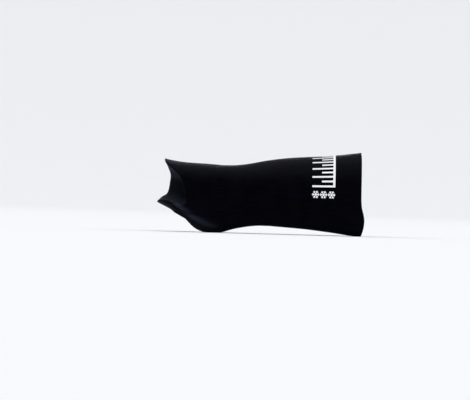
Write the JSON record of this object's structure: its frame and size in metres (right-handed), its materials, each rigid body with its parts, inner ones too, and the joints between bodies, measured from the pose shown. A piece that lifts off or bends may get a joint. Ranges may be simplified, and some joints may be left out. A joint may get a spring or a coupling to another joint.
{
  "type": "cold compression wrist sleeve",
  "caption": "Pull-on knitted sleeve for wrist, palm and thumb base with a thumb hole, and removable gel packs that slide out of inner pockets at the cuff.",
  "frame": {"origin": "under the middle of the sleeve's box, on the surface that it lies on", "axes": "+X from the fingers to the forearm, -Y to the thumb side, +Z to the back of the hand"},
  "size_m": [0.1738, 0.0838, 0.0702],
  "materials": {
    "face_knit": "matt black knitted face with a slight blue sheen",
    "lining_knit": "smooth dark knitted lining",
    "thread": "black polyester sewing thread and webbing",
    "pocket_mesh": "dark open warp-knit mesh",
    "print": "white heat-transfer print",
    "gel": "blue translucent gel",
    "film": "clear pale blue film",
    "label": "pale satin ribbon"
  },
  "bodies": {
    "sleeve": {"back_lining": "lining_knit", "back_outer_panel": "face_knit", "back_pocket": "pocket_mesh", "back_pocket_stitching": "thread", "care_label": "label", "little_side_seam_stitching": "thread", "palm_lining": "lining_knit", "palm_outer_panel": "face_knit", "palm_pocket": "pocket_mesh", "palm_pocket_stitching": "thread", "printed_scale": "print", "printed_snowflake_1": "print", "printed_snowflake_2": "print", "printed_snowflake_3": "print", "thumb_side_seam_stitching": "thread", "web_bar_tack": "thread"},
    "back_pack": {"back_pack_gel_cell_little_side": "gel", "back_pack_gel_cell_middle": "gel", "back_pack_gel_cell_thumb_side": "gel", "back_pack_inner_film": "film", "back_pack_outer_film": "film", "back_pack_pull_tab": "thread"},
    "palm_pack": {"palm_pack_gel_cell_little_side": "gel", "palm_pack_gel_cell_middle": "gel", "palm_pack_gel_cell_thumb_side": "gel", "palm_pack_inner_film": "film", "palm_pack_outer_film": "film", "palm_pack_pull_tab": "thread"}
  },
  "joints": [
    {"name": "back_pack_slide", "type": "slide", "parent": "sleeve", "child": "back_pack", "axis": [0.9962, 0, 0.0872], "range_m": [0, 0.1]},
    {"name": "palm_pack_slide", "type": "slide", "parent": "sleeve", "child": "palm_pack", "axis": [0.9986, 0, -0.0523], "range_m": [0, 0.1]}
  ]
}
